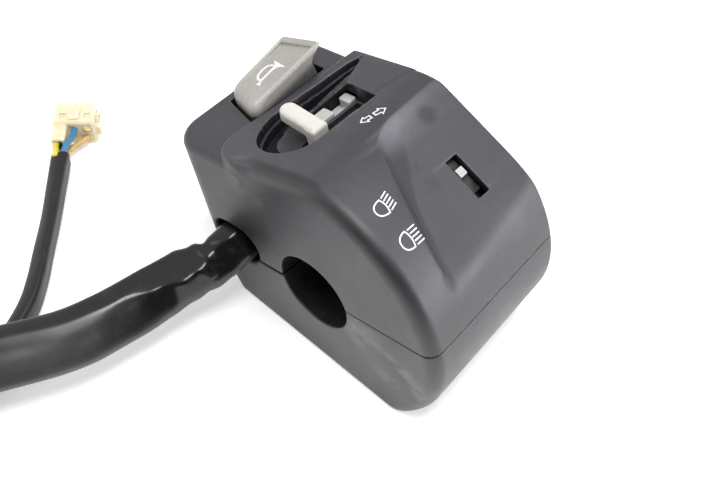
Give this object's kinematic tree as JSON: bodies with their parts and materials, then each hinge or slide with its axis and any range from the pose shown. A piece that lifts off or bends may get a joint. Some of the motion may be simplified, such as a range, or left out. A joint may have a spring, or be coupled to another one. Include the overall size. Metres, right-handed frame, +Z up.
{
  "type": "handlebar switch cluster",
  "caption": "Two-part housing clamped on a handlebar, with a horn key, a turn-signal slider, a beam slider and a sleeved lead that ends in a nylon connector.",
  "frame": {"origin": "on the bar axis, midway along the clamp", "axes": "+X along the bar towards the grip, +Z up from the table it lies on, the thumb side faces -Y"},
  "size_m": [0.2053, 0.1503, 0.0652],
  "materials": {
    "housing_plastic": "satin moulded",
    "horn_plastic": "satin moulded",
    "white_plastic": "satin moulded",
    "phenolic": "laminated",
    "steel": "zinc plated",
    "brass": "plain",
    "sleeve": "soft vinyl",
    "wire_blue": "vinyl",
    "wire_green": "vinyl",
    "wire_yellow": "vinyl",
    "wire_orange": "vinyl",
    "nylon": "translucent nylon"
  },
  "bodies": {
    "housing": {"upper_housing": "housing_plastic", "lower_housing": "housing_plastic", "clamp_screws": "steel", "clamp_inserts": "brass", "horn_hinge_pin": "steel", "horn_spring": "steel", "horn_contact_base": "phenolic", "horn_fixed_contacts": "brass", "horn_base_screw": "steel", "turn_base_plate": "phenolic", "turn_fixed_contacts": "brass", "turn_base_screws": "steel", "dimmer_base": "phenolic", "dimmer_fixed_contacts": "brass", "dimmer_base_screws": "steel", "cable_strap": "steel", "inner_wires": "wire_blue", "cable_sheath": "sleeve", "lead_blue": "wire_blue", "lead_green": "wire_green", "lead_yellow": "wire_yellow", "lead_orange": "wire_orange", "connector_housing": "nylon", "connector_terminals": "brass"},
    "horn": {"horn_button": "horn_plastic", "horn_contact_bar": "brass"},
    "turn": {"turn_slider": "white_plastic", "turn_lever": "white_plastic", "turn_moving_contact": "brass", "turn_detent_ball": "steel", "turn_detent_spring": "steel"},
    "dimmer": {"dimmer_slider": "white_plastic", "dimmer_moving_contact": "brass", "dimmer_detent_ball": "steel", "dimmer_detent_spring": "steel"}
  },
  "joints": [
    {"name": "horn_press", "type": "hinge", "parent": "housing", "child": "horn", "pos_m": [-0.0036, 0.04061, 0.01749], "axis": [0, 0.9659, -0.2588], "range_deg": [0, 7], "stiffness_Nm_per_rad": 0.06, "springref_deg": -6.88, "deforming": ["horn_spring"]},
    {"name": "turn_slide", "type": "slide", "parent": "housing", "child": "turn", "axis": [1, 0, 0], "range_m": [0, 0.009]},
    {"name": "dimmer_slide", "type": "slide", "parent": "housing", "child": "dimmer", "axis": [0, -0.9326, -0.361], "range_m": [0, 0.005]}
  ]
}
